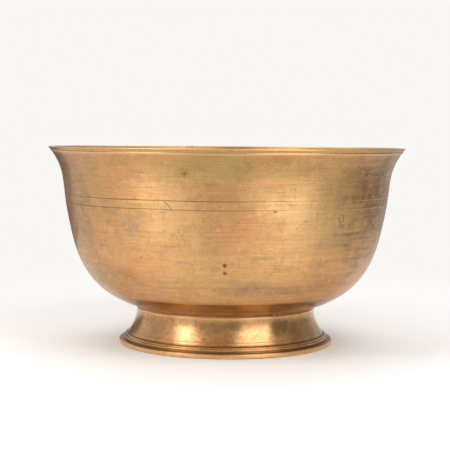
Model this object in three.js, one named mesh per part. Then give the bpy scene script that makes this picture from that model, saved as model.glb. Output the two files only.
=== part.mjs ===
// A footed brass bowl: a cast and turned bowl with an everted lip, a flared foot ring, and the run of
// braze that joins the two. Millimetres, +Z up, origin on the axis at the level of the table.
import * as THREE from "three";

// ---- Driving dimensions -------------------------------------------------------------------------

const SEGMENTS = 64; // facets round the axis
const SHORTEST_FACET = 0.6; // outline points nearer than this to a cut are left out

// Foot ring.
const COLLAR_RADIUS = 50.2;
const COLLAR_HEIGHT = 20.8; // top of the collar, where the braze begins
const COLLAR_ROUND = 0.5;
const FOOT_WALL = 3.1;
const SKIRT_SPREAD = 4.7; // how far the flare runs out below the collar
const SKIRT_HEIGHT = 6.4; // where the flare ends, above the table
const SKIRT_LEAN = 33; // degrees from upright
const RING_HEIGHTS = [7.8]; // a fine line incised round the skirt
const RING_WIDTH = 0.5;
const RING_DEPTH = 0.15;
const LEDGE_STEP = 1.5; // how far the ledge under the flare stands out beyond the skirt
const LEDGE_DROP = 1; // the ledge's edge below the end of the flare
const RIDGE_STEP = 2.6; // how far the ridge under the ledge stands out beyond the skirt
const RIDGE_HEIGHT = 0.75;
const GROOVE_HEIGHT = 1.1; // groove between the base band and the ridge
const GROOVE_DEPTH = 0.7;
const EDGE_BREAK = 0.3; // slope of the groove's and the lines' sides
const BASE_BAND_HEIGHT = 2.6;
const BASE_BAND_STEP = 5.3; // how far the base band stands out beyond the skirt
const BASE_BAND_ROUND = 1.5; // how far the band's lower edge draws in
const REST_LAND = 5; // width of the flat ring that stands on the table

// Braze.
const BRAZE_GAP = 0.4; // thickness of the film between collar and seat
const BRAZE_MENISCUS = 0.3; // how far the film draws in from the collar's edge
const BRAZE_FILLET = 1.2; // height of the fillet left inside the foot

// Bowl.
const RIM_RADIUS = 100;
const RIM_HEIGHT = 110; // above the table
const FLARE_SPREAD = 11.2; // how far the wall runs out from the knee to the lip
const FLARE_HEIGHT = 40; // from the knee, where belly hands over to flare, up to the rim
const KNEE_LEAN = 11.9; // degrees from upright
const LIP_LEAN = 36.3; // degrees from upright
const SEAT_RISE = 15.3; // degrees that the belly rises from the seat
const BOTTOM_SAG = 7.2; // how far the underside hangs below the seat, on the axis
const LIP_WALL = 2.6;
const KNEE_WALL = 2.8;
const BOTTOM_WALL = 4.2;
const BRAZE_CHANNEL = 2.4; // width of the channel between the foot's bore and the seat's shoulder

// Thickened band round the outside of the lip.
const RIM_BAND_HEIGHT = 2.4;
const RIM_BAND_PROUD = 0.4;
const RIM_EDGE_BREAK = 0.3;

// Two lines scribed round the wall, at these depths below the rim.
const LINE_DROPS = [26, 30.5];
const LINE_WIDTH = 0.7;
const LINE_DEPTH = 0.3;

// Tangent handles, as shares of each curve's chord.
const SKIRT_HANDLES = [0.3, 0.4];
const BOTTOM_HANDLES = [0.4, 0.35];
const BELLY_HANDLES = [0.52, 0.265];
const FLARE_HANDLES = [0.535, 0.43];

// Where the pieces meet.
const BORE_RADIUS = COLLAR_RADIUS - FOOT_WALL;
const SHOULDER_RADIUS = BORE_RADIUS - BRAZE_CHANNEL;
const SEAT_RADIUS = COLLAR_RADIUS - COLLAR_ROUND;
const SEAT_HEIGHT = COLLAR_HEIGHT + BRAZE_GAP;

// ---- Outlines: points are (radius, height) ------------------------------------------------------

const point = (radius, height) => new THREE.Vector2(radius, height);

// A unit vector that leans the given number of degrees from upright, outwards when positive.
function leaning(degrees) {
  const angle = THREE.MathUtils.degToRad(degrees);
  return point(Math.sin(angle), Math.cos(angle));
}

// A cubic curve between two points with the tangents given there.
function curveBetween(start, startDirection, end, endDirection, handles) {
  const chord = start.distanceTo(end);
  return new THREE.CubicBezierCurve(
    start,
    start.clone().addScaledVector(startDirection, handles[0] * chord),
    end.clone().addScaledVector(endDirection, -handles[1] * chord),
    end,
  );
}

// Points on a curve moved sideways, to its left as it is walked, by a distance that runs from one
// value at its start to another at its end.
function offsetCurve(curve, steps, startDistance, endDistance) {
  return Array.from({ length: steps + 1 }, (_, i) => {
    const share = i / steps;
    const tangent = curve.getTangent(share);
    const distance = THREE.MathUtils.lerp(startDistance, endDistance, share);
    return curve.getPoint(share).addScaledVector(point(-tangent.y, tangent.x), distance);
  });
}

// The radius of a rising outline at a height.
function radiusAt(outline, height) {
  const i = Math.max(outline.findIndex((p) => p.y >= height), 1);
  const share = (height - outline[i - 1].y) / (outline[i].y - outline[i - 1].y);
  return THREE.MathUtils.lerp(outline[i - 1].x, outline[i].x, share);
}

// The height of an outline that runs outwards, at a radius.
function heightAt(outline, radius) {
  const i = Math.max(outline.findIndex((p) => p.x >= radius), 1);
  const share = (radius - outline[i - 1].x) / (outline[i].x - outline[i - 1].x);
  return THREE.MathUtils.lerp(outline[i - 1].y, outline[i].y, share);
}

// A rising outline with a V-shaped line cut into it at each of the heights.
function withLines(outline, heights, width, depth) {
  const clearance = width / 2 + SHORTEST_FACET / 2;
  const clear = outline.filter((p) => heights.every((h) => Math.abs(p.y - h) > clearance));
  const cuts = heights.flatMap((h) => [
    point(radiusAt(outline, h - width / 2), h - width / 2),
    point(radiusAt(outline, h) - depth, h),
    point(radiusAt(outline, h + width / 2), h + width / 2),
  ]);
  return [...clear, ...cuts].sort((a, b) => a.y - b.y);
}

// ---- Pieces -------------------------------------------------------------------------------------

// Turns a closed outline, walked with the metal on its left, about the Z axis.
function turned(name, outline, material) {
  const geometry = new THREE.LatheGeometry([...outline, outline[0].clone()], SEGMENTS);
  geometry.rotateX(Math.PI / 2); // LatheGeometry turns about Y
  const mesh = new THREE.Mesh(geometry, material);
  mesh.name = name;
  return mesh;
}

// The outside of the bowl as three curves: the underside inside the foot, the belly and the flare.
function bowlCurves() {
  const centre = point(0, SEAT_HEIGHT - BOTTOM_SAG);
  const seatEdge = point(SEAT_RADIUS, SEAT_HEIGHT);
  const seatTangent = leaning(90 - SEAT_RISE);
  const lip = point(RIM_RADIUS - RIM_BAND_PROUD, RIM_HEIGHT);
  const knee = point(lip.x - FLARE_SPREAD, lip.y - FLARE_HEIGHT);
  const kneeTangent = leaning(KNEE_LEAN);
  return {
    bottom: curveBetween(centre, point(1, 0), seatEdge, seatTangent, BOTTOM_HANDLES),
    belly: curveBetween(seatEdge, seatTangent, knee, kneeTangent, BELLY_HANDLES),
    flare: curveBetween(knee, kneeTangent, lip, leaning(LIP_LEAN), FLARE_HANDLES),
  };
}

// From the axis out to the seat that the foot is brazed to, turned flat in the underside.
function bowlUnderside(bottom) {
  const outline = bottom.getPoints(8);
  return [
    ...outline.filter((p) => p.x < SHOULDER_RADIUS - SHORTEST_FACET),
    point(SHOULDER_RADIUS, heightAt(outline, SHOULDER_RADIUS)),
    point(SHOULDER_RADIUS, SEAT_HEIGHT),
  ];
}

// From the seat up to the top of the rim band.
function bowlWall(belly, flare) {
  const wall = [...belly.getPoints(12).slice(0, -1), ...flare.getPoints(9)];
  const bandHeight = RIM_HEIGHT - RIM_BAND_HEIGHT;
  const bandRadius = radiusAt(wall, bandHeight);
  const lineHeights = LINE_DROPS.map((drop) => RIM_HEIGHT - drop);
  const scribed = withLines(wall, lineHeights, LINE_WIDTH, LINE_DEPTH);
  return [
    ...scribed.filter((p) => p.y < bandHeight - SHORTEST_FACET),
    point(bandRadius, bandHeight),
    point(bandRadius + RIM_BAND_PROUD, bandHeight + RIM_BAND_PROUD),
    point(RIM_RADIUS, RIM_HEIGHT - RIM_EDGE_BREAK),
    point(RIM_RADIUS - RIM_EDGE_BREAK, RIM_HEIGHT),
  ];
}

// From the centre of the floor up to the inner edge of the lip.
function bowlInside(bottom, belly, flare) {
  const wall = [
    ...offsetCurve(bottom, 5, BOTTOM_WALL, BOTTOM_WALL).slice(0, -1),
    ...offsetCurve(belly, 9, BOTTOM_WALL, KNEE_WALL).slice(0, -1),
    ...offsetCurve(flare, 7, KNEE_WALL, LIP_WALL),
  ];
  const lipWidth = LIP_WALL / Math.cos(THREE.MathUtils.degToRad(LIP_LEAN));
  return [
    ...wall.filter((p) => p.y < RIM_HEIGHT - SHORTEST_FACET),
    point(RIM_RADIUS - RIM_BAND_PROUD - lipWidth, RIM_HEIGHT),
  ];
}

function bowl(material) {
  const { bottom, belly, flare } = bowlCurves();
  const outside = [...bowlUnderside(bottom), ...bowlWall(belly, flare)];
  const inside = bowlInside(bottom, belly, flare);
  return turned("bowl_shell", [...outside, ...inside.reverse()], material);
}

function footRing(material) {
  const skirtRadius = COLLAR_RADIUS + SKIRT_SPREAD;
  const bandRadius = skirtRadius + BASE_BAND_STEP;
  const landRadius = bandRadius - BASE_BAND_ROUND;
  const ridgeRadius = skirtRadius + RIDGE_STEP;
  const grooveRadius = ridgeRadius - GROOVE_DEPTH;
  const grooveTop = BASE_BAND_HEIGHT + GROOVE_HEIGHT;
  const ridgeTop = grooveTop + RIDGE_HEIGHT;
  const flare = curveBetween(
    point(skirtRadius, SKIRT_HEIGHT),
    leaning(-SKIRT_LEAN),
    point(COLLAR_RADIUS, COLLAR_HEIGHT - COLLAR_ROUND),
    leaning(0),
    SKIRT_HANDLES,
  );
  const baseBand = new THREE.QuadraticBezierCurve(
    point(landRadius, 0),
    point(bandRadius, 0),
    point(bandRadius, BASE_BAND_HEIGHT / 2),
  );
  const outside = [
    point(landRadius - REST_LAND, 0),
    ...baseBand.getPoints(3),
    point(bandRadius - EDGE_BREAK, BASE_BAND_HEIGHT),
    point(grooveRadius, BASE_BAND_HEIGHT + EDGE_BREAK),
    point(grooveRadius, grooveTop - EDGE_BREAK),
    point(ridgeRadius, grooveTop),
    point(ridgeRadius, ridgeTop),
    point(ridgeRadius - 2 * EDGE_BREAK, ridgeTop + EDGE_BREAK),
    point(skirtRadius + LEDGE_STEP, SKIRT_HEIGHT - LEDGE_DROP),
    point(skirtRadius + EDGE_BREAK, SKIRT_HEIGHT - 2 * EDGE_BREAK),
    point(skirtRadius + EDGE_BREAK, SKIRT_HEIGHT - EDGE_BREAK),
    ...withLines(flare.getPoints(9), RING_HEIGHTS, RING_WIDTH, RING_DEPTH),
    point(COLLAR_RADIUS - COLLAR_ROUND, COLLAR_HEIGHT),
  ];
  const bore = offsetCurve(flare, 7, FOOT_WALL, FOOT_WALL);
  const inside = [
    ...bore.filter((p) => p.x < landRadius - REST_LAND),
    point(BORE_RADIUS, COLLAR_HEIGHT),
  ];
  return turned("foot_ring", [...outside, ...inside.reverse()], material);
}

// A film between the collar and the seat, with a hollow fillet in the channel inside the foot.
function braze(material) {
  const fillet = new THREE.QuadraticBezierCurve(
    point(SHOULDER_RADIUS, SEAT_HEIGHT - BRAZE_GAP),
    point(BORE_RADIUS, SEAT_HEIGHT - BRAZE_GAP),
    point(BORE_RADIUS, COLLAR_HEIGHT - BRAZE_FILLET),
  );
  return turned("braze_seam", [
    ...fillet.getPoints(4),
    point(BORE_RADIUS, COLLAR_HEIGHT),
    point(SEAT_RADIUS - BRAZE_MENISCUS, COLLAR_HEIGHT),
    point(SEAT_RADIUS - BRAZE_MENISCUS, SEAT_HEIGHT),
    point(SHOULDER_RADIUS, SEAT_HEIGHT),
  ], material);
}

// ---- Assembly -----------------------------------------------------------------------------------

const agedBrass = new THREE.MeshStandardMaterial({
  name: "aged_brass",
  color: 0xc08a4e,
  metalness: 1,
  roughness: 0.34,
});
const polishedBrass = new THREE.MeshStandardMaterial({
  name: "polished_brass",
  color: 0xc79255,
  metalness: 1,
  roughness: 0.24,
});
const brazeAlloy = new THREE.MeshStandardMaterial({
  name: "braze_alloy",
  color: 0xa98c4a,
  metalness: 1,
  roughness: 0.45,
});

const footedBowl = new THREE.Group();
footedBowl.add(bowl(agedBrass), footRing(polishedBrass), braze(brazeAlloy));

export default footedBowl;
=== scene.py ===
"""A footed brass bowl: turned, scribed and worn by hand polishing, on a plain pale floor.

Three pieces ride on the frame: the bowl, the foot ring and the braze between them. Each is a surface
of revolution, an outline (radius, height) turned about the Z axis, with marks pressed into it.
"""

import math
from collections import namedtuple
from functools import reduce

import bpy
import numpy as np
from bpy.props import FloatProperty, FloatVectorProperty, IntProperty, PointerProperty
from mathutils import Euler, Matrix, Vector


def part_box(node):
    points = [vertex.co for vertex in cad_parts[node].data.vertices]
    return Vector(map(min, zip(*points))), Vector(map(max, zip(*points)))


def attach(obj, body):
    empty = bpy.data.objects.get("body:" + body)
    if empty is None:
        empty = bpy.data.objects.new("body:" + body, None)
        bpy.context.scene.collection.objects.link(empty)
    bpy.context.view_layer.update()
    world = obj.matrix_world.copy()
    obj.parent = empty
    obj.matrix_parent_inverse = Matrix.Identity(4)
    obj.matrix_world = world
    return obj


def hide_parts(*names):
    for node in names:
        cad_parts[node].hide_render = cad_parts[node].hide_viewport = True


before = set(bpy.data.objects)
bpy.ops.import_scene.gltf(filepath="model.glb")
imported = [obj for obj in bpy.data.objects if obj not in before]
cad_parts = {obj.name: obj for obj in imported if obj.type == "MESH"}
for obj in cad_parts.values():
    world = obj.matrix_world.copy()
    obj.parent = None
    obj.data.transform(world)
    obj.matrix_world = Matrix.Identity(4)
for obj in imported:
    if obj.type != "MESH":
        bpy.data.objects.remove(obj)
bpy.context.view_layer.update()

bl_info = {
    "name": "Footed brass bowl",
    "version": (1, 0, 0),
    "blender": (4, 5, 0),
    "location": "View3D > Sidebar > Brass Bowl",
    "description": "Builds a footed brass bowl with its turned and worn surfaces",
    "category": "Add Mesh",
}

BODY = "root"
MM = 0.001

BOWL_LOW, BOWL_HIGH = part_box("bowl_shell")
FOOT_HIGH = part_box("foot_ring")[1]


# ---- Marks on the surface ----
# Angles are in degrees round the axis, from the front (-Y) towards +X. Heights and sizes are in mm.

Pit = namedtuple("Pit", "angle height width tall depth dark")
Dent = namedtuple("Dent", "angle height size depth")
Line = namedtuple("Line", "height width depth dark")

PUNCHED_PITS = (
    Pit(-0.5, 51.5, 2.2, 1.9, 0.7, 0.74),
    Pit(-0.4, 47.4, 2.2, 1.6, 0.6, 0.68),
)
SMALL_PITS = (
    Pit(15.5, 79.0, 1.1, 1.0, 0.35, 0.75),
    Pit(-36, 62, 0.9, 0.8, 0.2, 0.5),
    Pit(-51, 63, 0.8, 0.8, 0.2, 0.4),
    Pit(32, 57, 0.8, 0.9, 0.2, 0.4),
    Pit(57, 61, 0.9, 1.3, 0.2, 0.6),
    Pit(-13, 97.5, 1.3, 1.2, 0.2, 0.6),
    Pit(112, 70, 1.4, 1.1, 0.3, 0.7),
    Pit(-118, 52, 1.2, 1.0, 0.3, 0.7),
    Pit(171, 88, 1.1, 1.3, 0.3, 0.7),
)
DENTS = (
    Dent(-33, 71, 9, 0.25),
    Dent(47, 88, 12, 0.30),
    Dent(-8, 99, 10, 0.20),
    Dent(58, 56, 11, 0.25),
    Dent(12, 40, 6, 0.12),
    Dent(-14, 41, 5, 0.10),
    Dent(104, 82, 13, 0.35),
    Dent(-140, 66, 12, 0.35),
    Dent(163, 58, 10, 0.30),
)
SCRIBED_LINES = (Line(84.0, 0.22, 0.16, 0.60), Line(79.5, 0.21, 0.15, 0.58))
FAINT_LINES = (
    Line(104.6, 0.5, 0.05, 0.05),
    Line(66.2, 0.4, 0.06, 0.10),
    Line(61.5, 0.3, 0.05, 0.10),
    Line(58.3, 0.5, 0.06, 0.08),
    Line(39.0, 0.4, 0.08, 0.12),
)
RIM_NICKS = (
    Pit(-166.9, 110.0, 1.3, 1.4, 0.5, 0.9),
    Pit(-165.2, 110.0, 0.9, 1.2, 0.4, 0.8),
    Pit(74, 110.0, 1.1, 1.0, 0.3, 0.6),
    Pit(-52, 110.0, 0.8, 0.9, 0.25, 0.5),
)
FOOT_PITS = (
    Pit(41, 17.4, 0.7, 1.2, 0.2, 0.9),
    Pit(43, 12.6, 0.8, 0.6, 0.1, 0.6),
    Pit(24, 5.6, 0.7, 0.6, 0.1, 0.7),
    Pit(-12, 9.4, 1.6, 0.8, 0.1, 0.5),
    Pit(-3, 14.0, 0.8, 0.7, 0.1, 0.45),
    Pit(20, 14.8, 1.0, 0.6, 0.1, 0.4),
    Pit(9, 11.0, 0.6, 0.6, 0.1, 0.4),
    Pit(130, 12.0, 1.1, 0.9, 0.2, 0.8),
    Pit(-105, 14.5, 0.9, 1.2, 0.2, 0.8),
)
SKIRT_LINES = (
    Line(5.85, 0.26, 0.10, 0.8),
    Line(4.65, 0.14, 0.05, 0.6),
    Line(7.8, 0.2, 0.05, 0.2),
)
BLOBS_ANGLE = 31  # where the braze stands out in drops
BLOBS_SPREAD = 7
BLOBS_TO_A_TURN = 83
HIGHLIT_EDGE_DROP = 0.5  # how far below a scribed line its lower edge gets a painted highlight
HIGHLIT_EDGE_WIDTH = 0.24
UNDERSIDE_TOP = 30.4  # painted shade: below this height the belly is painted browner and darker, for the foot's reflection in it
UNDERSIDE_FADE = 1.2
BOWL_OUT_OF_ROUND = 0.10
FOOT_OUT_OF_ROUND = 0.05


# ---- Lamps and dark board ----
# Azimuths are in degrees from the front towards +X. Places and sizes are in metres, power in watts.

Lamp = namedtuple("Lamp", "name azimuth elevation distance width tall power")

LAMPS = (
    Lamp("right_softbox", 38.5, 35, 0.62, 0.42, 0.70, 2.38),
    Lamp("left_softbox", -52, 35, 0.62, 0.28, 0.62, 1.22),
    Lamp("left_bulb", -53, 32, 0.60, 0.05, 0.05, 0.15),
    Lamp("back_softbox", 180, 60, 0.95, 0.90, 0.60, 3.2),
)
LAMP_AIM = 0.05  # height on the bowl's axis that the lamps face
FLAG_LEFT = (-0.30, 0.20)
FLAG_RIGHT = (-0.15, 0.34)
FLAG_TALL = 0.09
FLOOR_HALF = 2.2
FLOOR_FADE = (140, 520)  # mm from the axis where the floor begins and ends to fade


# ---- Settings ----


def length(name, description, millimetres):
    """A length that is given in millimetres and kept in metres."""
    return FloatProperty(name=name, description=description, default=millimetres * MM, unit="LENGTH")


def angle(name, description, degrees):
    """An angle that is given in degrees and kept in radians."""
    return FloatProperty(name=name, description=description, default=math.radians(degrees), subtype="ANGLE")


def strength(name, description, value):
    """The strength of the light from one side of the room."""
    return FloatProperty(name=name, description=description, default=value)


def colour(name, description, red, green, blue):
    """A linear colour."""
    return FloatVectorProperty(
        name=name, description=description, default=(red, green, blue), subtype="COLOR", min=0, max=1
    )


class BowlSizes(bpy.types.PropertyGroup):
    """Sizes of the bowl, from the CAD piece where it has them."""

    rim_radius: length("Rim radius", "Outer edge of the lip", BOWL_HIGH.x / MM)
    rim_height: length("Rim height", "Top of the lip above the table", BOWL_HIGH.z / MM)
    bottom_height: length("Bottom height", "Underside of the bowl on the axis", BOWL_LOW.z / MM)
    flare_spread: length("Flare spread", "How far the wall runs out from the knee to the lip", 11.2)
    flare_height: length("Flare height", "From the knee up to the rim", 40)
    knee_lean: angle("Knee lean", "Lean of the wall from upright where belly meets flare", 11.9)
    lip_lean: angle("Lip lean", "Lean of the lip from upright", 36.3)
    seat_rise: angle("Seat rise", "Slope of the belly where it leaves the foot", 15.3)
    seat_radius: length("Seat radius", "Outer edge of the seat for the foot", 49.7)
    shoulder_radius: length("Shoulder radius", "Inner edge of the seat for the foot", 44.7)
    lip_wall: length("Lip wall", "Thickness at the lip", 2.6)
    bottom_wall: length("Bottom wall", "Thickness of the floor", 4.2)
    band_height: length("Rim band height", "Thickened band round the lip", 2.4)
    band_proud: length("Rim band proud", "How far the band stands out of the wall", 0.4)
    bead: length("Rim bead", "Height of the bead at the band's foot", 0.5)
    edge_round: length("Edge round", "Rounding of the lip's edges", 0.8)
    segments: IntProperty(name="Segments", description="Steps round the axis", default=430)


class FootSizes(bpy.types.PropertyGroup):
    """Sizes of the foot ring and of the braze above it."""

    collar_radius: length("Collar radius", "Outside of the collar under the bowl", 50.2)
    collar_height: length("Collar height", "Top of the collar", FOOT_HIGH.z / MM)
    collar_round: length("Collar round", "Rounding of the collar's top edge", 1.5)
    wall: length("Foot wall", "Thickness of the flared wall", 3.1)
    band_radius: length("Base band radius", "Widest part of the foot", FOOT_HIGH.x / MM)
    band_height: length("Base band height", "Height of the band at the base", 2.6)
    band_round: length("Base band round", "How far the band's lower edge draws in", 0.9)
    skirt_radius: length("Skirt radius", "Where the flare ends", 54.9)
    skirt_height: length("Skirt height", "Where the flare ends, above the table", 6.4)
    skirt_lean: angle("Skirt lean", "Lean of the flare's lower end from upright", 33)
    ridge_radius: length("Ridge radius", "Outside of the ridge over the groove", 57.5)
    groove_height: length("Groove height", "Groove between base band and ridge", 1.1)
    groove_depth: length("Groove depth", "Depth of that groove behind the ridge", 0.7)
    rest_land: length("Rest land", "Width of the flat ring that stands on the table", 5)
    film: length("Braze film", "Gap between collar and seat", 0.4)
    fillet: length("Braze fillet", "Height of the fillet inside the foot", 1.2)


class BrassColours(bpy.types.PropertyGroup):
    """Colours of clean and tarnished brass."""

    gold: colour("Gold", "Clean brass", 0.71, 0.42, 0.17)
    rose: colour("Rose", "Brass that has lost zinc", 0.69, 0.33, 0.14)
    # Pale gives the metal's own paler tones, and is also laid on as painted highlights on the bowl's edges
    # and wall and on the foot's collar.
    pale: colour("Pale", "Freshly rubbed brass", 0.9, 0.6, 0.28)
    olive: colour("Olive", "Thin green-brown tarnish", 0.47, 0.33, 0.11)
    # Brown is tarnish, and is also laid on as painted shade: under the belly, towards the rim, on the bowl's
    # right side and under the foot's collar.
    brown_tarnish_and_shade: colour("Brown", "Older tarnish", 0.27, 0.14, 0.05)
    grey: colour("Grey", "Dull grey tarnish", 0.42, 0.285, 0.17)
    grime: colour("Grime", "Polish and dirt left in recesses", 0.075, 0.042, 0.02)
    verdigris: colour("Verdigris", "Green corrosion in the joint", 0.20, 0.22, 0.09)


class StudioSettings(bpy.types.PropertyGroup):
    """Camera, floor and lights."""

    camera_distance: length("Camera distance", "From the bowl's axis", 700)
    camera_height: length("Camera height", "Above the table", 116.5)
    camera_side: length("Camera side", "Towards +X of the bowl's axis", -0.7)
    camera_pitch: angle("Camera pitch", "Downwards", 4.12)
    camera_roll: angle("Camera roll", "About its own axis", 0.46)
    lens: FloatProperty(name="Lens", description="Focal length in mm on a 36 mm sensor", default=99.2)
    floor_colour: colour("Floor colour", "Pale table", 0.93, 0.93, 0.93)
    left_light: strength("Left light", "Light from the room's left side", 0.66)
    right_light: strength("Right light", "Light from the room's right side", 0.25)
    top_light: strength("Top light", "Light from the ceiling", 0.46)
    table_light: strength("Table light", "Light from the far table", 0.25)
    back_light: strength("Back light", "Light from the wall behind", 0.3)
    front_light: strength("Front light", "Light from the wall in front", 0.33)
    flag_colour: colour("Flag colour", "Dark board beside the bowl", 0.10, 0.055, 0.035)
    backdrop_colour: colour("Backdrop colour", "Pale wall behind", 0.955, 0.935, 0.91)


class FootedBowlSettings(bpy.types.PropertyGroup):
    """Everything that the panel shows."""

    bowl: PointerProperty(type=BowlSizes)
    foot: PointerProperty(type=FootSizes)
    colours: PointerProperty(type=BrassColours)
    studio: PointerProperty(type=StudioSettings)


# ---- Outlines: arrays of (radius, height) ----

# Handles of the curves, as shares of each curve's chord.
BOTTOM_HANDLES = (0.4, 0.35)
BELLY_HANDLES = (0.52, 0.265)
FLARE_HANDLES = (0.535, 0.43)
SKIRT_HANDLES = (0.30, 0.40)

# Points on a curve when it is drawn, and how many each stretch keeps.
BOWL_CURVE_POINTS = 400
SKIRT_CURVE_POINTS = 300
UNDER_POINTS = 12
WALL_POINTS = 152
INSIDE_POINTS = 34
SKIRT_POINTS = 64
BORE_POINTS = 16
BRAZE_SEGMENTS = 900
SKIRT_START = 6  # the drawn point at which the skirt leaves the ledge's rounding

# Corners as (inwards, upwards) in mm, from the base band's top edge and from the ridge's lower edge.
BAND_TOP = ((0.1, -0.3), (0.5, 0))
RIDGE_AND_LEDGE = ((0, 0), (0.1, 0.75), (0.6, 0.95), (0.5, 1.1), (1.1, 1.75), (2.1, 2.05), (2.2, 2.35))


def leaning(radians):
    """The unit vector (sin a, cos a), which leans a from upright."""
    return np.array([math.sin(radians), math.cos(radians)])


def curve_between(start, start_direction, end, end_direction, handles, count):
    """Points of B(t) = (1-t)^3 P0 + 3(1-t)^2 t P1 + 3(1-t) t^2 P2 + t^3 P3 at even steps of t.

    P1 and P2 lie from the ends along their directions, by the handles' shares of the chord.
    """
    start, end = np.asarray(start, float), np.asarray(end, float)
    chord = np.linalg.norm(end - start)
    first = start + handles[0] * chord * np.asarray(start_direction)
    second = end - handles[1] * chord * np.asarray(end_direction)
    t = np.linspace(0, 1, count)[:, None]
    return (1 - t) ** 3 * start + 3 * (1 - t) ** 2 * t * first + 3 * (1 - t) * t**2 * second + t**3 * end


def stepped(edge, corners):
    """Points that lie these (inwards, upwards) distances in mm from an edge."""
    return [(edge[0] - inwards * MM, edge[1] + upwards * MM) for inwards, upwards in corners]


def run_length(points):
    """Distance along an outline to each of its points."""
    steps = np.linalg.norm(np.diff(points, axis=0), axis=1)
    return np.concatenate([[0], np.cumsum(steps)])


def crowded(low, high, count, centres, width, boost):
    """Places from low to high that crowd round the centres.

    They invert the running sum of 1 + boost * exp(-((x - centre) / width)^2).
    """
    x = np.linspace(low, high, 20000)
    density = np.ones_like(x)
    for centre in centres:
        density += boost * np.exp(-(((x - centre) / width) ** 2))
    share = np.concatenate([[0], np.cumsum((density[1:] + density[:-1]) / 2)])
    return np.interp(np.linspace(0, share[-1], count), share, x)


def resampled(points, places):
    """The outline's points at these distances along it."""
    along = run_length(points)
    return np.column_stack([np.interp(places, along, points[:, axis]) for axis in (0, 1)])


def evenly(points, count):
    """The outline as this many points, evenly spaced along it."""
    return resampled(points, np.linspace(0, run_length(points)[-1], count))


def normals_of(points):
    """Unit normals to the left of an outline as it is walked, from central differences."""
    tangent = np.gradient(points, axis=0)
    tangent /= np.maximum(np.linalg.norm(tangent, axis=1, keepdims=True), 1e-12)
    return np.column_stack([-tangent[:, 1], tangent[:, 0]])


def thickened(points, start, end):
    """The outline moved to its left by a distance that runs evenly from start to end."""
    share = run_length(points) / run_length(points)[-1]
    return points + normals_of(points) * (start + (end - start) * share)[:, None]


def parabola(start, middle, end, count):
    """Points of (1-t)^2 A + 2(1-t) t B + t^2 C at even steps of t."""
    t = np.linspace(0, 1, count)[:, None]
    return (1 - t) ** 2 * start + 2 * (1 - t) * t * middle + t**2 * end


def softened(corners, roundings, steps=5):
    """A polyline whose corners are parabolas, from one rounding before each corner to one after."""
    corners = np.asarray(corners, float)
    pieces = [corners[:1]]
    for before, corner, after, rounding in zip(corners, corners[1:], corners[2:], roundings):
        back = corner + (before - corner) * min(0.49, rounding / np.linalg.norm(before - corner))
        ahead = corner + (after - corner) * min(0.49, rounding / np.linalg.norm(after - corner))
        pieces.append(parabola(back, corner, ahead, steps))
    pieces.append(corners[-1:])
    return np.concatenate(pieces)


# ---- Relief: how far the surface stands in or out, over angle (degrees) and height (mm) ----


def turn_apart(angles, centre):
    """Difference of two angles in degrees, from -180 to 180."""
    return (angles - centre + 180) % 360 - 180


def pit_mask(pit, angles, heights, radii):
    """exp(-(u^2 + v^2)^2): a flat-bottomed round spot, in half widths across and half heights up."""
    across = np.radians(turn_apart(angles, pit.angle)) * radii / (pit.width / 2)
    up = (heights - pit.height) / (pit.tall / 2)
    return np.exp(-((across**2 + up**2) ** 2))


def dent_depth(dent, angles, heights, radii):
    """A round bell, depth * exp(-(u^2 + v^2))."""
    across = np.radians(turn_apart(angles, dent.angle)) * radii / dent.size
    up = (heights - dent.height) / dent.size
    return dent.depth * np.exp(-(across**2 + up**2))


def line_mask(line, heights):
    """A round-bottomed groove, exp(-((z - height) / width)^2)."""
    return np.exp(-(((heights - line.height) / line.width) ** 2))


def waver(angles, seed):
    """A slow change round the axis, from about -1 to 1.

    0.5 sin(2a + s) + 0.3 sin(5a + 2.3s) + 0.2 sin(11a + s^2), for an angle a and a seed s.
    """
    turn = np.radians(angles)
    slow = 0.5 * np.sin(2 * turn + seed)
    return slow + 0.3 * np.sin(5 * turn + 2.3 * seed) + 0.2 * np.sin(11 * turn + seed * seed)


def bell(angles):
    """Where the lines are still deep: ((1 + cos(angle + 24)) / 2)^5."""
    return ((1 + np.cos(np.radians(angles + 24))) / 2) ** 5


def wear(angles, seed):
    """How deep a line still is: 0.15 + 0.85 bell(angle), with a slow change."""
    return (0.15 + 0.85 * bell(angles)) * (1 + 0.25 * waver(angles, seed))


def pressed(relief, marks):
    """The relief and the darkness after marks, given with their masks, are pressed into the surface.

    Relief less the sum of depth * mask, and the largest dark * mask.
    """
    recess = np.zeros_like(relief)
    for mark, mask in marks:
        relief = relief - mark.depth * mask
        recess = np.maximum(recess, mark.dark * mask)
    return relief, recess


def turning_waves(along):
    """Waves left by the tool, a sum of sines of the distance along the outline."""
    waves = ((7.3, 0.012, 0.4), (4.1, 0.010, 1.9), (2.3, 0.008, 4.0), (1.7, 0.006, 2.2))
    return sum(size * np.sin(2 * np.pi * along / step + start) for step, size, start in waves)


# ---- Meshes ----


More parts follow.
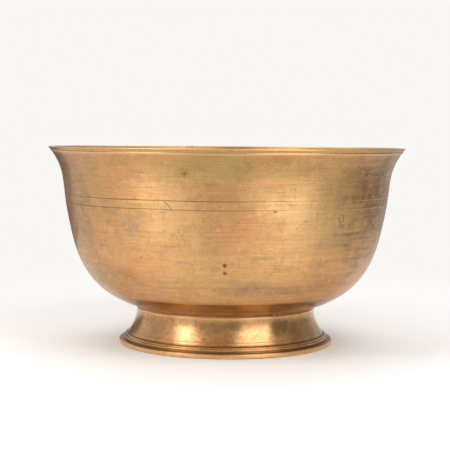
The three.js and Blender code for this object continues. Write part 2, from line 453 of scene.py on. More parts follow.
def revolved(name, outline, angles, relief, values, material):
    """A closed surface of revolution with relief.

    Vertex (i, j) is outline point i moved along its normal by relief[i, j], turned to angles[j]:
    (r sin a, -r cos a, z). The outline closes on itself, or its ends lie on the axis and become poles.
    The mesh carries the values as attributes, and along, the distance in mm along the outline.
    """
    on_axis = outline[0, 0] < 1e-9 and outline[-1, 0] < 1e-9
    normals = -normals_of(outline)
    turned = outline[:, None, :] + normals[:, None, :] * relief[:, :, None]
    turn = np.radians(angles)[None, :]
    radii, heights = turned[..., 0], turned[..., 1]
    along = np.repeat(run_length(outline)[:, None] / MM, len(angles), axis=1)
    corners = np.stack([radii * np.sin(turn), -radii * np.cos(turn), heights], axis=-1)
    rows, columns = np.arange(len(outline)), np.arange(len(angles))
    if on_axis:
        rows = rows[1:-1]
    index = np.arange(len(rows) * len(columns)).reshape(len(rows), len(columns))
    last = index if on_axis else np.vstack([index, index[:1]])
    low, high = last[:-1], last[1:]
    quads = np.stack([low, np.roll(low, -1, 1), np.roll(high, -1, 1), high], axis=-1).reshape(-1, 4)
    vertices = corners[rows].reshape(-1, 3)
    values = {key: value[rows].ravel() for key, value in {**values, "along": along}.items()}
    faces = [quads]
    if on_axis:
        poles = corners[[0, -1], 0]
        poles[:, :2] = 0
        first, final = index[0], index[-1]
        count = len(vertices)
        vertices = np.vstack([vertices, poles])
        values = {key: np.append(value, [value[0], value[-1]]) for key, value in values.items()}
        faces.append(np.column_stack([np.roll(first, -1), first, np.full_like(first, count)]))
        faces.append(np.column_stack([final, np.roll(final, -1), np.full_like(final, count + 1)]))
    return mesh_object(name, vertices, faces, values, material)


def mesh_object(name, vertices, faces, values, material):
    """A smooth mesh object from whole arrays of vertices and of faces with equal numbers of corners."""
    mesh = bpy.data.meshes.new(name)
    loops = np.concatenate([f.ravel() for f in faces]).astype(np.int32)
    sizes = np.concatenate([np.full(len(f), f.shape[1]) for f in faces]).astype(np.int32)
    starts = np.concatenate([[0], np.cumsum(sizes)[:-1]]).astype(np.int32)
    mesh.vertices.add(len(vertices))
    mesh.vertices.foreach_set("co", vertices.astype(np.float32).ravel())
    mesh.loops.add(len(loops))
    mesh.loops.foreach_set("vertex_index", loops)
    mesh.polygons.add(len(sizes))
    mesh.polygons.foreach_set("loop_start", starts)
    mesh.polygons.foreach_set("use_smooth", np.ones(len(sizes), bool))
    for key, value in values.items():
        attribute = mesh.attributes.new(key, "FLOAT", "POINT")
        attribute.data.foreach_set("value", value.astype(np.float32))
    mesh.update(calc_edges=True)
    mesh.validate()
    mesh.materials.append(material)
    obj = bpy.data.objects.new(name, mesh)
    bpy.context.scene.collection.objects.link(obj)
    return obj


def fit_to_frame(obj, node):
    """Ties a finished piece to the frame in place of its CAD node."""
    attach(obj, BODY)
    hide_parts(node)


# ---- Shader maths ----


class Value:
    """A number that changes over a surface: a socket, with Python's arithmetic on it."""

    def __init__(self, shader, socket):
        self.shader = shader
        self.socket = socket

    def maths(self, operation, *others, clamp=False):
        settings = {"operation": operation, "use_clamp": clamp}
        node = self.shader.node("ShaderNodeMath", settings, dict(enumerate((self, *others))))
        return Value(self.shader, node.outputs[0])

    def __add__(self, other):
        return self.maths("ADD", other)

    def __mul__(self, other):
        return self.maths("MULTIPLY", other)

    def __sub__(self, other):
        return self.maths("SUBTRACT", other)

    def __rsub__(self, other):
        return (self * -1) + other

    def __truediv__(self, other):
        return self.maths("DIVIDE", other)

    __radd__ = __add__
    __rmul__ = __mul__

    def clamped(self):
        return self.maths("ADD", 0.0, clamp=True)

    def rise(self, low, high):
        """Nought below low, one above high, and a smooth step between."""
        settings = {"interpolation_type": "SMOOTHSTEP", "clamp": True}
        inputs = {"Value": self, "From Min": low, "From Max": high}
        node = self.shader.node("ShaderNodeMapRange", settings, inputs)
        return Value(self.shader, node.outputs["Result"])

    def largest(self, other):
        return self.maths("MAXIMUM", other)


class Shader:
    """The node tree of a material or of the world."""

    def __init__(self, owner):
        self.owner = owner
        owner.use_nodes = True
        self.tree = owner.node_tree
        self.tree.nodes.clear()

    def node(self, kind, settings=None, inputs=None):
        """A node of a type: its settings are set first, then the values or links of its sockets."""
        node = self.tree.nodes.new(kind)
        for key, value in (settings or {}).items():
            setattr(node, key, value)
        for key, value in (inputs or {}).items():
            socket = node.inputs[key]
            if isinstance(value, Value):
                value = value.socket
            if isinstance(value, bpy.types.NodeSocket):
                self.tree.links.new(value, socket)
            else:
                socket.default_value = value
        return node

    def position(self):
        """The point on the surface in mm, from object coordinates."""
        coordinates = self.node("ShaderNodeTexCoord").outputs["Object"]
        return self.vector("SCALE", {0: coordinates, "Scale": 1 / MM})

    def vector(self, operation, inputs):
        return self.node("ShaderNodeVectorMath", {"operation": operation}, inputs).outputs[0]

    def parts(self, vector):
        """A vector's x, y and z."""
        node = self.node("ShaderNodeSeparateXYZ", inputs={0: vector})
        return [Value(self, socket) for socket in node.outputs]

    def joined(self, x, y, z):
        """A vector from its x, y and z."""
        return self.node("ShaderNodeCombineXYZ", inputs={0: x, 1: y, 2: z}).outputs[0]

    def attributes(self, *names):
        """The values that a mesh carries under these names."""
        nodes = [self.node("ShaderNodeAttribute", {"attribute_name": name}) for name in names]
        return [Value(self, node.outputs["Fac"]) for node in nodes]

    def noise(self, vector, scale=1.0, detail=2.0, roughness=0.5, distortion=0.0):
        """Fractal noise, mostly between 0.3 and 0.7."""
        inputs = {"Vector": vector, "Scale": scale, "Detail": detail}
        inputs.update({"Roughness": roughness, "Distortion": distortion})
        return Value(self, self.node("ShaderNodeTexNoise", inputs=inputs).outputs["Fac"])

    def blend(self, factor, first, second):
        """Two colours mixed by a factor."""
        inputs = {0: factor, 6: opaque(first), 7: opaque(second)}
        return self.node("ShaderNodeMix", {"data_type": "RGBA"}, inputs).outputs[2]

    def layered(self, tint, layers):
        """A colour with others laid over it in turn, each by its factor."""
        for factor, over in layers:
            tint = self.blend(factor, tint, over)
        return tint

    def scaled(self, tint, factor):
        """A colour made lighter or darker by a factor."""
        return self.vector("SCALE", {0: tint, "Scale": factor})

    def bump(self, height, distance):
        inputs = {"Height": height, "Distance": distance}
        return self.node("ShaderNodeBump", inputs=inputs).outputs["Normal"]

    def finish(self, **inputs):
        """Ends the tree in a Principled shader with these sockets."""
        named = {key.replace("_", " "): value for key, value in inputs.items()}
        principled = self.node("ShaderNodeBsdfPrincipled", inputs=named)
        self.node("ShaderNodeOutputMaterial", inputs={"Surface": principled.outputs[0]})
        return self.owner


def opaque(tint):
    """A linked colour as it is, and a plain one with its alpha."""
    return tint if isinstance(tint, bpy.types.NodeSocket) else (*tint, 1.0)


# ---- Materials ----
# Stains and scratches are placed as the marks are: angles in degrees, heights and sizes in mm.

Stain = namedtuple("Stain", "angle height width tall strength")
Scratch = namedtuple("Scratch", "angle height end_angle end_height dark")

OLIVE_STAINS = (
    Stain(-4, 102, 27, 8, 0.85),
    Stain(-19, 101, 12, 7, 0.5),
    Stain(20, 99, 12, 8, 0.45),
    Stain(-46, 93, 10, 7, 0.35),
    Stain(46, 62, 12, 12, 0.5),
    Stain(22, 39, 26, 5, 0.4),
    Stain(120, 92, 30, 14, 0.5),
    Stain(-150, 60, 26, 12, 0.5),
)
ROSE_STAINS = (
    Stain(-5, 90.5, 22, 2.2, 0.8),
    Stain(-24, 87, 14, 2.2, 0.6),
    Stain(8, 92, 12, 3.5, 0.6),
    Stain(-42, 95, 14, 8, 0.5),
    Stain(-56, 60, 14, 10, 0.4),
    Stain(4, 64, 16, 4, 0.4),
    Stain(48, 104, 10, 5, 0.6),
    Stain(-100, 76, 22, 10, 0.5),
)
BROWN_STAINS_AND_SHADE = (
    # The stains from 50 to 66 degrees are partly brown tarnish and partly painted shade that darkens the
    # bowl's right side.
    Stain(50, 90, 11, 9, 0.75),
    Stain(66, 84, 34, 32, 1.0),
    Stain(55, 92, 20, 20, 0.9),
    Stain(16, 101, 26, 6, 0.32),
    Stain(16, 91, 12, 5, 0.25),
    Stain(-48, 41, 17, 10, 0.5),
    Stain(44, 38, 16, 9, 0.35),
    Stain(-60, 78, 15, 30, 0.5),
    Stain(46, 97, 15, 11, 0.45),
    Stain(62, 104, 20, 8, 0.5),
    Stain(-13.5, 98, 4, 3, 0.5),
    Stain(-8, 101, 5, 3, 0.35),
    Stain(14, 38, 20, 3, 0.3),
    Stain(-68, 98, 9, 14, 0.5),
    Stain(140, 66, 18, 12, 0.5),
)
GREY_STAINS = (
    Stain(-33, 71, 7, 7, 0.65),
    Stain(-29, 77.5, 4, 2.5, 0.8),
    Stain(-40, 79, 7, 3, 0.5),
    Stain(42, 66, 8, 6, 0.5),
    Stain(36, 62, 7, 5, 0.4),
    Stain(8, 40, 14, 3.5, 0.6),
    Stain(28, 38, 14, 3, 0.6),
    Stain(-28, 40, 12, 3, 0.4),
    Stain(-62, 40, 20, 9, 0.6),
    Stain(62, 48, 16, 12, 0.35),
    Stain(175, 80, 22, 8, 0.5),
)
# Painted highlights: pale patches where the softboxes' highlights fall on the wall.
PAINTED_HIGHLIGHT_PATCHES = (
    Stain(20, 80, 15, 8, 0.5),
    Stain(-16, 80, 9, 8, 0.4),
    Stain(-21, 70, 8, 6, 0.3),
)
FOOT_STAINS = (
    Stain(34, 14.5, 6, 4, 0.7),
    Stain(46, 10, 6, 6, 0.5),
    Stain(-9, 15.5, 7, 3, 0.6),
    Stain(9, 16.0, 8, 2.5, 0.6),
    Stain(-46, 11, 9, 6, 0.4),
    Stain(120, 12, 12, 5, 0.5),
    Stain(-150, 9, 14, 4, 0.5),
)
SCRATCHES = (
    Scratch(-20.4, 84.2, -18.6, 81.6, 0.6),
    Scratch(-18.6, 81.6, -17.5, 79.2, 0.6),
    Scratch(-63.5, 69.9, -71.3, 59.2, 0.9),
    Scratch(-71.3, 59.2, -75.0, 53.2, 0.9),
    Scratch(41.8, 76.4, 42.6, 73.4, 0.6),
    Scratch(42.6, 73.4, 40.9, 72.6, 0.6),
    Scratch(40.9, 72.6, 40.0, 74.8, 0.6),
    Scratch(4.8, 71.5, 6.2, 68.5, 0.25),
)
TURNED_GRAIN = 0.00003  # height in metres of the finest marks on bowl and foot
BRAZE_GRAIN = 0.0001
ROUND_THE_AXIS = 0.25  # a quarter turn, which lays the brushed highlights round the axis
SCRATCH_WIDTH = 0.3
SCRATCHED_RADIUS = 90  # of the wall, near enough, where the scratches are


def stain_mask(stains, place, edge, thin):
    """The strongest of several soft spots, their rims broken up by the edge noise and their tone by thin."""
    angles, heights, radii = place
    masks = []
    for stain in stains:
        apart = (angles - stain.angle).maths("WRAP", 180.0, -180.0)
        across = apart * radii * (math.radians(1) / stain.width)
        up = (heights - stain.height) / stain.tall
        distance = across * across + up * up + edge
        masks.append((1 - distance.rise(0.1, 1.6)) * stain.strength)
    return reduce(Value.largest, masks) * thin


def scratch_mask(scratch, place, width):
    """How dark a straight scratch between two places is, down to nought at width mm from it."""
    angles, heights, radii = place
    turn = math.radians(scratch.end_angle - scratch.angle)
    run = (turn * SCRATCHED_RADIUS, scratch.end_height - scratch.height)
    size = math.hypot(*run)
    unit = (run[0] / size, run[1] / size)
    across = (angles - scratch.angle) * radii * math.radians(1)
    up = heights - scratch.height
    along = across * unit[0] + up * unit[1]
    aside = (across * unit[1] - up * unit[0]).maths("ABSOLUTE")
    beyond = (along - size / 2).maths("ABSOLUTE") - size / 2
    return (1 - aside.largest(beyond).rise(width * 0.3, width)) * scratch.dark


def surface_place(shader, position):
    """Angle from the front in degrees, height in mm and radius in mm."""
    x, y, z = shader.parts(position)
    angles = x.maths("ARCTAN2", y * -1) * math.degrees(1)
    radii = (x * x + y * y).maths("SQRT")
    return angles, z, radii


def drawn_marks(shader, position, along, around, lengthways, detail):
    """Noise drawn out into marks so many mm long round the axis and so many along the outline."""
    x, y, _ = shader.parts(position)
    vector = shader.joined(x / around, y / around, along / lengthways)
    return shader.noise(vector, 1.0, detail, 0.6)


def aged_brass(colours):
    """The bowl: gold brass with streaks, stains, turning lines, a wax film and dark recesses, with painted
    highlights on its edges and wall, and painted shade under the belly, towards the rim and on its right
    side.
    """
    shader = Shader(bpy.data.materials.new("bowl_brass"))
    position = shader.position()
    place = surface_place(shader, position)
    along, recess, rubbed_and_highlit, under = shader.attributes("along", "recess", "rubbed_and_highlit", "under")
    broad = shader.noise(position, 0.022, 4, 0.55)
    blotch = shader.noise(position, 0.07, 5, 0.6, 0.6)
    mottle = shader.noise(position, 0.24, 5, 0.65, 0.8)
    fine = shader.noise(position, 0.75, 4, 0.65)
    streak = drawn_marks(shader, position, along, 26, 1.9, 4)
    line = drawn_marks(shader, position, along, 18, 0.7, 2)
    hair = drawn_marks(shader, position, along, 8, 0.32, 1)
    wipe = drawn_marks(shader, position, along, 0.8, 7, 3)
    speck = fine.rise(0.61, 0.71)
    edge = (blotch - 0.5) * 6 + (mottle - 0.5) * 5 + (streak - 0.5) * 3 + (fine - 0.5) * 3
    thin = 0.4 + (mottle * 0.6 + fine * 0.4).rise(0.40, 0.59) * 0.6
    brown_tarnish_and_shade = stain_mask(BROWN_STAINS_AND_SHADE, place, edge, thin)
    scratches = [scratch_mask(scratch, place, SCRATCH_WIDTH) for scratch in SCRATCHES]
    dark = recess.largest(reduce(Value.largest, scratches))

    tint = shader.layered(colours.gold, (
        (broad.rise(0.40, 0.64) * 0.7, colours.rose),
        (streak.rise(0.52, 0.72) * 0.30, colours.rose),
        (blotch.rise(0.50, 0.66) * 0.34, colours.olive),
        (mottle.rise(0.50, 0.68) * 0.36, colours.grey),
        (mottle.rise(0.48, 0.30) * 0.25, colours.pale),
        (line.rise(0.50, 0.75) * 0.20, colours.pale),
        (line.rise(0.47, 0.30) * 0.18, colours.brown_tarnish_and_shade),
        # painted shade: browner towards the rim, for the shadowed floor that the lip reflects
        (place[1].rise(88, 106) * (0.18 + mottle * 0.2), colours.brown_tarnish_and_shade),
        (wipe.rise(0.54, 0.70) * broad.rise(0.55, 0.42) * 0.25, colours.brown_tarnish_and_shade),
        (stain_mask(ROSE_STAINS, place, edge, thin), colours.rose),
        (stain_mask(OLIVE_STAINS, place, edge, thin), colours.olive),
        (stain_mask(GREY_STAINS, place, edge, thin), colours.grey),
        # painted highlight patches on the wall
        (stain_mask(PAINTED_HIGHLIGHT_PATCHES, place, edge, thin), colours.pale),
        (brown_tarnish_and_shade, colours.brown_tarnish_and_shade),
        (speck * 0.5, colours.brown_tarnish_and_shade),
        (fine.rise(0.42, 0.32) * 0.3, colours.pale),
        # painted highlights on the bead, the lip's edge and the scribed lines' lower edges
        (rubbed_and_highlit * 0.8, colours.pale),
        # painted shade and reflection on the belly's underside
        (under * 0.6, colours.brown_tarnish_and_shade),
        (dark.clamped(), colours.grime),
    ))
    dullness = 0.30 + blotch * 0.16 + mottle * 0.1 + brown_tarnish_and_shade * 0.06 + speck * 0.12
    roughness = dullness * (1 - under * 0.5) + dark * 0.25
    relief = line * 0.28 + hair * 0.32 + fine * 0.25 + mottle * 0.5 - dark * 1.5
    return shader.finish(
        Base_Color=shader.scaled(tint, 0.90 + line * 0.10 + hair * 0.10),
        Metallic=1.0,
        Roughness=roughness.clamped(),
        Anisotropic=0.8,
        Anisotropic_Rotation=ROUND_THE_AXIS,
        Coat_Weight=(0.22 - under * 0.22).clamped(),
        Coat_Roughness=0.14,
        Normal=shader.bump(relief, TURNED_GRAIN),
    )


def polished_brass(colours):
    """The foot: glossier, with fine turning lines, dark specks of casting porosity, painted shade under the
    collar and a painted highlight along the collar's edge.
    """
    shader = Shader(bpy.data.materials.new("foot_brass"))
    position = shader.position()
    place = surface_place(shader, position)
    along, recess, rubbed_and_highlit = shader.attributes("along", "recess", "rubbed_and_highlit")
    blotch = shader.noise(position, 0.09, 5, 0.6, 0.5)
    mottle = shader.noise(position, 0.35, 5, 0.65, 0.6)
    fine = shader.noise(position, 0.9, 4, 0.65)
    line = drawn_marks(shader, position, along, 16, 0.7, 3)
    hair = drawn_marks(shader, position, along, 8, 0.3, 1)
    wipe = drawn_marks(shader, position, along, 0.7, 6, 3)
    speck = fine.rise(0.62, 0.70)
    edge = (blotch - 0.5) * 5 + (mottle - 0.5) * 5
    # painted shade: a browner band under the collar, where the foot reflects the dark room beneath the bowl
    painted_shade_under_collar = place[1].rise(13.5, 16.5) * place[1].rise(20.0, 18.4)

    tint = shader.layered(colours.gold, (
        (0.2 + blotch.rise(0.38, 0.68) * 0.5, colours.rose),
        (blotch.rise(0.54, 0.72) * 0.15, colours.olive),
        (mottle.rise(0.48, 0.66) * 0.35, colours.brown_tarnish_and_shade),
        (painted_shade_under_collar * (0.1 + mottle * 0.5), colours.brown_tarnish_and_shade),
        (stain_mask(FOOT_STAINS, place, edge, 1.0), colours.brown_tarnish_and_shade),
        (wipe.rise(0.50, 0.66) * 0.3, colours.brown_tarnish_and_shade),
        (speck * 0.6, colours.grime),
        # painted highlight on the collar's edge, and the base band painted paler
        (rubbed_and_highlit * 0.35, colours.pale),
        (recess.clamped(), colours.grime),
    ))
    roughness = 0.21 + blotch * 0.10 + mottle * 0.10 + speck * 0.2 + recess * 0.2
    relief = line * 0.4 + hair * 0.3 + fine * 0.3 + mottle * 0.6 - recess
    return shader.finish(
        Base_Color=shader.scaled(tint, 0.93 + line * 0.18 + hair * 0.16),
        Metallic=1.0,
        Roughness=roughness.clamped(),
        Anisotropic=0.75,
        Anisotropic_Rotation=ROUND_THE_AXIS,
        Coat_Weight=(0.4 - recess).clamped(),
        Coat_Roughness=0.1,
        Normal=shader.bump(relief, TURNED_GRAIN),
    )


def braze_metal(colours):
    """The braze: dull yellow metal with green corrosion in its pores."""
    shader = Shader(bpy.data.materials.new("braze_alloy"))
    position = shader.position()
    (recess,) = shader.attributes("recess")
    blotch = shader.noise(position, 0.3, 4, 0.6, 0.4)
    fine = shader.noise(position, 1.1, 4, 0.7)
    tint = shader.layered(colours.gold, (
        (blotch.rise(0.4, 0.65), colours.olive),
        (fine.rise(0.52, 0.66) * 0.5, colours.verdigris),
        (recess.clamped() * 0.8, colours.grime),
    ))
    return shader.finish(
        Base_Color=tint,
        Metallic=0.9,
        Roughness=(0.34 + fine * 0.3).clamped(),
        Normal=shader.bump(fine - recess, BRAZE_GRAIN),
    )


def pale_floor(studio):
    """Matt pale floor that fades away well clear of the bowl."""
    shader = Shader(bpy.data.materials.new("pale_floor"))
    x, y, _ = shader.parts(shader.position())
    distance = (x * x + y * y).maths("SQRT")
    return shader.finish(
        Base_Color=(*studio.floor_colour, 1),
        Roughness=0.9,
        Alpha=1 - distance.rise(*FLOOR_FADE),
    )


# ---- Pieces ----


def bowl_outline(sizes, seat_height):
    """The bowl's closed outline from the axis, out under the belly, over the lip and back to the axis."""
    seat = np.array([sizes.seat_radius, seat_height])
    lip = np.array([sizes.rim_radius - sizes.band_proud, sizes.rim_height])
    knee = lip - [sizes.flare_spread, sizes.flare_height]
    centre = (0, sizes.bottom_height)
    along_seat = leaning(math.pi / 2 - sizes.seat_rise)
    up_knee = leaning(sizes.knee_lean)
    up_lip = leaning(sizes.lip_lean)
    bottom = curve_between(centre, (1, 0), seat, along_seat, BOTTOM_HANDLES, BOWL_CURVE_POINTS)
    belly = curve_between(seat, along_seat, knee, up_knee, BELLY_HANDLES, BOWL_CURVE_POINTS)
    flare = curve_between(knee, up_knee, lip, up_lip, FLARE_HANDLES, BOWL_CURVE_POINTS)
    wall = np.vstack([belly[:-1], flare])

    under = bottom[bottom[:, 0] < sizes.shoulder_radius]
    under = evenly(under, UNDER_POINTS)
    shoulder = softened(
        [under[-1], (sizes.shoulder_radius, seat_height), seat], [0.2 * MM], steps=3
    )[1:-1]

    band_foot = sizes.rim_height - sizes.band_height
    plain = wall[wall[:, 1] < band_foot - 0.3 * MM]
    distances = run_length(plain)
    marked = [line.height for line in SCRIBED_LINES] + [pit.height for pit in PUNCHED_PITS]
    centres = np.interp(np.array(marked) * MM, plain[:, 1], distances)
    plain = resampled(plain, crowded(0, distances[-1], WALL_POINTS, centres, width=0.9 * MM, boost=6))

    inside = np.vstack([
        thickened(bottom, sizes.bottom_wall, sizes.bottom_wall)[:-1],
        thickened(wall, sizes.bottom_wall, sizes.lip_wall),
    ])[::-1]
    inside = inside[inside[:, 1] < sizes.rim_height - 1.5 * sizes.edge_round]
    inside[-1, 0] = 0
    inside = evenly(inside, INSIDE_POINTS)

    foot_radius = np.interp(band_foot, wall[:, 1], wall[:, 0])
    band_radius = foot_radius + sizes.band_proud
    lip_width = sizes.lip_wall / math.cos(sizes.lip_lean)
    band = softened(
        [
            plain[-1],
            (foot_radius, band_foot - sizes.bead / 2),
            (band_radius + 0.1 * MM, band_foot - sizes.bead / 2),
            (band_radius + 0.3 * MM, band_foot + sizes.bead / 2),
            (band_radius, band_foot + sizes.bead),
            (sizes.rim_radius, sizes.rim_height),
            (lip[0] - lip_width, sizes.rim_height),
            inside[0],
        ],
        [0.1 * MM, 0.2 * MM, 0.2 * MM, 0.2 * MM, sizes.edge_round, sizes.edge_round],
        steps=5,
    )[1:-1]
    return np.vstack([under, shoulder, plain, band, inside])


def bowl_marks(turn, heights, radii, outside):
    """The marks pressed into the bowl, each with its mask."""
    marks = []
    for line in SCRIBED_LINES:
        marks.append((line, line_mask(line, heights) * wear(turn, line.height) * outside))
    for line in FAINT_LINES:
        marks.append((line, line_mask(line, heights) * (1 + waver(turn, line.height)) / 2 * outside))
    for pit in PUNCHED_PITS + SMALL_PITS:
        marks.append((pit, pit_mask(pit, turn, heights, radii) * outside))
    for nick in RIM_NICKS:
        marks.append((nick, pit_mask(nick, turn, heights, radii)))
    return marks


def bowl_painted_highlights(sizes, turn, heights, outside):
    """Painted highlights on the bowl: the bead, the lip's edge and the lower edge of each scribed line where
    it is worn.
    """
    band_foot = (sizes.rim_height - sizes.band_height) / MM
    bead = np.exp(-(((heights - band_foot) / 0.5) ** 2)) * outside
    edge = np.clip((heights - sizes.rim_height / MM + 0.6) / 0.4, 0, 1)
    rubbed_and_highlit = np.maximum(bead, edge) + 0 * turn
    for line in SCRIBED_LINES:
        # painted highlight along the lower edge of each scribed line, away from where the lines are still
        # deep
        lower_edge = line._replace(height=line.height - HIGHLIT_EDGE_DROP, width=HIGHLIT_EDGE_WIDTH)
        worn = line_mask(lower_edge, heights) * (1 - bell(turn)) * outside
        rubbed_and_highlit = np.maximum(rubbed_and_highlit, 0.75 * worn)
    return rubbed_and_highlit


def make_bowl(settings):
    """The bowl: its outline turned, with scribed lines, pits, dents and nicks."""
    sizes = settings.bowl
    outline = bowl_outline(sizes, FOOT_HIGH.z + settings.foot.film)
    centres = [pit.angle for pit in PUNCHED_PITS]
    angles = crowded(-180, 180, sizes.segments + 1, centres, width=1.6, boost=3.2)[:-1]
    radii = outline[:, :1] / MM
    heights = outline[:, 1:] / MM
    outside = (np.arange(len(outline)) <= np.argmax(outline[:, 0]))[:, None]
    outwards = np.where(outside, 1, -1)
    turn = angles[None, :]
    out_of_round = np.sin(2 * np.radians(turn) + 0.6) * (heights / heights.max()) ** 2
    relief = BOWL_OUT_OF_ROUND * out_of_round * outwards
    relief = relief + turning_waves(run_length(outline)[:, None] / MM)
    for dent in DENTS:
        relief = relief - dent_depth(dent, turn, heights, radii) * outwards
    relief, recess = pressed(relief, bowl_marks(turn, heights, radii, outside))
    relief[[0, -1]] = 0
    # where the belly's underside gets painted shade
    under = np.clip((UNDERSIDE_TOP - heights) / UNDERSIDE_FADE, 0, 1) * outside + 0 * turn
    values = {"recess": recess, "rubbed_and_highlit": bowl_painted_highlights(sizes, turn, heights, outside), "under": under}
    obj = revolved("bowl_turned", outline, angles, relief * MM, values, aged_brass(settings.colours))
    fit_to_frame(obj, "bowl_shell")


def foot_outline(sizes):
    """The foot ring's closed outline, from the inner edge of its rest round the outside and back."""
    land_radius = sizes.band_radius - sizes.band_round
    ridge = sizes.ridge_radius
    groove = ridge - sizes.groove_depth
    groove_top = sizes.band_height + sizes.groove_height
    bore_radius = sizes.collar_radius - sizes.wall
    collar = (sizes.collar_radius, sizes.collar_height - sizes.collar_round)
    skirt = (sizes.skirt_radius, sizes.skirt_height)
    downwards = leaning(-sizes.skirt_lean)
    flare = curve_between(skirt, downwards, collar, (0, 1), SKIRT_HANDLES, SKIRT_CURVE_POINTS)
    rounding = 0.12 * MM
    base = softened(
        [
            (land_radius - sizes.rest_land, 0),
            (land_radius, 0),
            (sizes.band_radius, sizes.band_round * 0.5),
            *stepped((sizes.band_radius, sizes.band_height), BAND_TOP),
            (groove, sizes.band_height + 0.1 * MM),
            (groove, groove_top - 0.15 * MM),
            *stepped((ridge, groove_top), RIDGE_AND_LEDGE),
            skirt,
            flare[SKIRT_START],
        ],
        [rounding, 5 * rounding, rounding, 2 * rounding] + [rounding] * 10,
        steps=5,
    )[:-1]
    distances = run_length(flare)
    centres = np.interp([line.height * MM for line in SKIRT_LINES], flare[:, 1], distances)
    start, end = distances[[SKIRT_START, -1]]
    places = crowded(start, end, SKIRT_POINTS, centres, width=0.8 * MM, boost=3)
    outer = resampled(flare, places)
    bore_top = collar[1] - 1 * MM
    collar_edge = softened(
        [
            outer[-1],
            (sizes.collar_radius, sizes.collar_height),
            (bore_radius, sizes.collar_height),
            (bore_radius, bore_top),
        ],
        [sizes.collar_round, 0.2 * MM],
        steps=7,
    )[1:-1]
    inner = thickened(flare, sizes.wall, sizes.wall)[::-1]
    inner = inner[(inner[:, 0] < land_radius - sizes.rest_land) & (inner[:, 1] < bore_top)]
    return np.vstack([base, outer, collar_edge, evenly(inner, BORE_POINTS)])


def make_foot(settings):
    """The foot ring: its outline turned, with incised lines and a little casting porosity."""
    sizes = settings.foot
    outline = foot_outline(sizes)
    angles = np.linspace(-180, 180, settings.bowl.segments, endpoint=False)
    heights = outline[:, 1:] / MM
    radii = outline[:, :1] / MM
    turn = angles[None, :]
    outside = radii > sizes.collar_radius / MM - 1
    marks = []
    for line in SKIRT_LINES:
        marks.append((line, line_mask(line, heights) * (1 + 0.3 * waver(turn, line.height)) * outside))
    for pit in FOOT_PITS:
        marks.append((pit, pit_mask(pit, turn, heights, radii) * outside))
    relief = FOOT_OUT_OF_ROUND * np.sin(3 * np.radians(turn) + 1.0) * (heights > 0.5)
    relief, recess = pressed(relief, marks)
    groove = (sizes.band_height + sizes.groove_height / 2) / MM
    groove_mask = np.exp(-(((heights - groove) / 0.6) ** 4)) * outside + 0 * turn
    recess = np.maximum(recess, 0.6 * groove_mask)
    # painted highlight along the collar's top edge; the base band is painted paler
    collar = np.exp(-(((heights - sizes.collar_height / MM + 0.6) / 0.6) ** 2))
    band = heights < sizes.band_height / MM
    values = {"recess": recess, "rubbed_and_highlit": np.maximum(collar, band) * outside + 0 * turn}
    obj = revolved("foot_turned", outline, angles, relief * MM, values, polished_brass(settings.colours))
    fit_to_frame(obj, "foot_ring")


def film_edge(foot):
    """The radius where the braze's film ends, just inside the collar's rounded edge."""
    return foot.collar_radius - foot.collar_round / 4


def braze_outline(foot, shoulder):
    """The braze's closed outline: the hollow fillet inside the foot, then round the film's outer edge."""
    bore = foot.collar_radius - foot.wall
    low, high = foot.collar_height, foot.collar_height + foot.film
    edge = film_edge(foot)
    bottom = (bore, low - foot.fillet)
    fillet = parabola((shoulder, low), (bore, low), bottom, 6)
    rim = softened(
        [
            (bore, low),
            (foot.collar_radius - foot.collar_round, low),
            (edge - 0.4 * MM, low - 0.4 * MM),
            (edge, low),
            (edge - 0.2 * MM, high),
            (shoulder, high),
        ],
        [0.1 * MM, 0.15 * MM, 0.2 * MM, 0.2 * MM],
        steps=5,
    )
    return np.vstack([fillet, rim])


def make_braze(settings):
    """The braze: a film whose edge stands in and out of the joint, and a fillet inside the foot."""
    foot = settings.foot
    outline = braze_outline(foot, settings.bowl.shoulder_radius)
    angles = np.linspace(-180, 180, BRAZE_SEGMENTS, endpoint=False)
    turn = angles[None, :]
    edge = film_edge(foot)
    at_edge = np.clip((outline[:, :1] - (edge - 0.7 * MM)) / (0.7 * MM), 0, 1)
    bead = 0.10 * waver(turn, 3.1) + 0.08 * waver(turn * 7, 1.7)
    near_blobs = np.exp(-(((turn - BLOBS_ANGLE) / BLOBS_SPREAD) ** 2))
    blobs = 0.40 * near_blobs * np.sin(np.radians(turn * BLOBS_TO_A_TURN))
    relief = (bead + blobs) * at_edge
    values = {"recess": np.clip(-2.0 * bead - 2.5 * blobs, 0, 1) * at_edge}
    obj = revolved("braze_bead", outline, angles, relief * MM, values, braze_metal(settings.colours))
    fit_to_frame(obj, "braze_seam")


# ---- Stage ----


def make_floor(studio):
    """A flat square of floor under the bowl."""
    corners = FLOOR_HALF * np.array([(-1, -1, 0), (1, -1, 0), (1, 1, 0), (-1, 1, 0)])
    quad = np.array([[0, 1, 2, 3]])
    mesh_object("floor", corners, [quad], {}, pale_floor(studio))


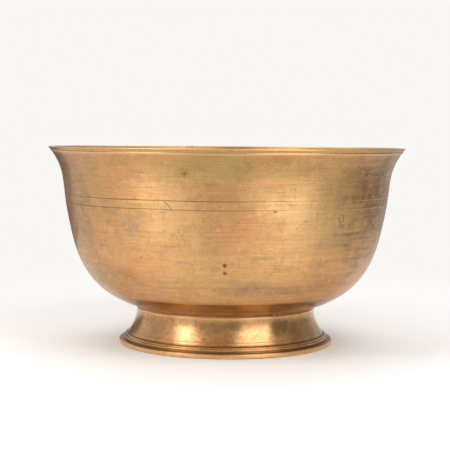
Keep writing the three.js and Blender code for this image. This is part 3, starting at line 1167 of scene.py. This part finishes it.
def make_surroundings(studio):
    """A pale room: plain to the camera, and otherwise a sum of soft lights from its sides."""
    world = bpy.data.worlds.new("pale_room")
    bpy.context.scene.world = world
    shader = Shader(world)
    x, y, z = shader.parts(shader.node("ShaderNodeTexCoord").outputs["Generated"])
    light = (
        x.rise(0.2, -0.9) * studio.left_light
        + x.rise(-0.2, 0.9) * studio.right_light
        + z.rise(0.2, 0.95) * studio.top_light
        + y.rise(0.6, 0.85) * studio.back_light
        + y.rise(-0.7, -0.95) * studio.front_light
        + z.rise(0.0, -0.15) * studio.table_light
    )
    wall = opaque(studio.backdrop_colour)
    plain = shader.node("ShaderNodeBackground", inputs={"Color": wall}).outputs[0]
    lit = shader.node("ShaderNodeBackground", inputs={"Color": wall, "Strength": light}).outputs[0]
    to_camera = shader.node("ShaderNodeLightPath").outputs["Is Camera Ray"]
    mix = shader.node("ShaderNodeMixShader", inputs={0: to_camera, 1: lit, 2: plain})
    shader.node("ShaderNodeOutputWorld", inputs={"Surface": mix.outputs[0]})


def make_lamp(lamp):
    """A rectangular lamp that faces the bowl and that the camera doesn't see."""
    light = bpy.data.lights.new(lamp.name, "AREA")
    light.shape = "RECTANGLE"
    light.size = lamp.width
    light.size_y = lamp.tall
    light.energy = lamp.power
    obj = bpy.data.objects.new(lamp.name, light)
    bpy.context.scene.collection.objects.link(obj)
    turn, rise = math.radians(lamp.azimuth), math.radians(lamp.elevation)
    obj.location = (
        lamp.distance * math.cos(rise) * math.sin(turn),
        -lamp.distance * math.cos(rise) * math.cos(turn),
        lamp.distance * math.sin(rise) + LAMP_AIM,
    )
    obj.rotation_euler = (math.pi / 2 - rise, 0, turn)
    obj.visible_camera = False


def make_flag(studio):
    """A dark board to the left, which only the metal shows, as a dark contour in its edge."""
    shader = Shader(bpy.data.materials.new("dark_board"))
    board = shader.finish(Base_Color=opaque(studio.flag_colour), Roughness=0.8)
    foot = [(*FLAG_LEFT, 0), (*FLAG_RIGHT, 0)]
    head = [(*FLAG_RIGHT, FLAG_TALL), (*FLAG_LEFT, FLAG_TALL)]
    obj = mesh_object("flag", np.array(foot + head), [np.array([[0, 1, 2, 3]])], {}, board)
    obj.visible_camera = False
    obj.visible_diffuse = False
    obj.visible_shadow = False


def make_camera(studio):
    """A camera in front of the bowl, pitched down a little and rolled by a hair."""
    camera = bpy.data.cameras.new("camera")
    camera.lens = studio.lens
    camera.sensor_width = 36
    camera.clip_start = 0.01
    camera.clip_end = 20
    obj = bpy.data.objects.new("camera", camera)
    bpy.context.scene.collection.objects.link(obj)
    obj.location = (studio.camera_side, -studio.camera_distance, studio.camera_height)
    level = Euler((math.pi / 2 - studio.camera_pitch, 0, 0)).to_matrix()
    obj.rotation_euler = (level @ Matrix.Rotation(studio.camera_roll, 3, "Z")).to_euler()
    bpy.context.scene.camera = obj


# ---- Operators, panel and registration ----


class BRASSBOWL_OT_bowl(bpy.types.Operator):
    """Make the turned bowl with its scribed lines, pits and stains"""

    bl_idname = "brassbowl.bowl"
    bl_label = "Make Bowl"

    def execute(self, context):
        make_bowl(context.scene.footed_bowl)
        return {"FINISHED"}


class BRASSBOWL_OT_foot(bpy.types.Operator):
    """Make the flared foot ring with its base band and incised lines"""

    bl_idname = "brassbowl.foot"
    bl_label = "Make Foot Ring"

    def execute(self, context):
        make_foot(context.scene.footed_bowl)
        return {"FINISHED"}


class BRASSBOWL_OT_braze(bpy.types.Operator):
    """Make the braze between the bowl and the foot ring"""

    bl_idname = "brassbowl.braze"
    bl_label = "Make Braze"

    def execute(self, context):
        make_braze(context.scene.footed_bowl)
        return {"FINISHED"}


class BRASSBOWL_OT_stage(bpy.types.Operator):
    """Make the floor, the soft lights and the camera"""

    bl_idname = "brassbowl.stage"
    bl_label = "Make Stage"

    def execute(self, context):
        studio = context.scene.footed_bowl.studio
        make_floor(studio)
        make_surroundings(studio)
        for lamp in LAMPS:
            make_lamp(lamp)
        make_flag(studio)
        make_camera(studio)
        context.scene.view_settings.view_transform = "Standard"
        return {"FINISHED"}


class BRASSBOWL_PT_panel(bpy.types.Panel):
    """Lists the pieces of the bowl"""

    bl_label = "Brass Bowl"
    bl_space_type = "VIEW_3D"
    bl_region_type = "UI"
    bl_category = "Brass Bowl"

    def draw(self, context):
        for operator in OPERATORS:
            self.layout.operator(operator.bl_idname)


OPERATORS = (BRASSBOWL_OT_bowl, BRASSBOWL_OT_foot, BRASSBOWL_OT_braze, BRASSBOWL_OT_stage)
SETTINGS = (BowlSizes, FootSizes, BrassColours, StudioSettings, FootedBowlSettings)
CLASSES = (*SETTINGS, *OPERATORS, BRASSBOWL_PT_panel)


def register():
    for cls in CLASSES:
        bpy.utils.register_class(cls)
    bpy.types.Scene.footed_bowl = PointerProperty(type=FootedBowlSettings)


def unregister():
    del bpy.types.Scene.footed_bowl
    for cls in reversed(CLASSES):
        bpy.utils.unregister_class(cls)


def main():
    register()
    bpy.ops.brassbowl.bowl()
    bpy.ops.brassbowl.foot()
    bpy.ops.brassbowl.braze()
    bpy.ops.brassbowl.stage()


if __name__ == "__main__":
    main()
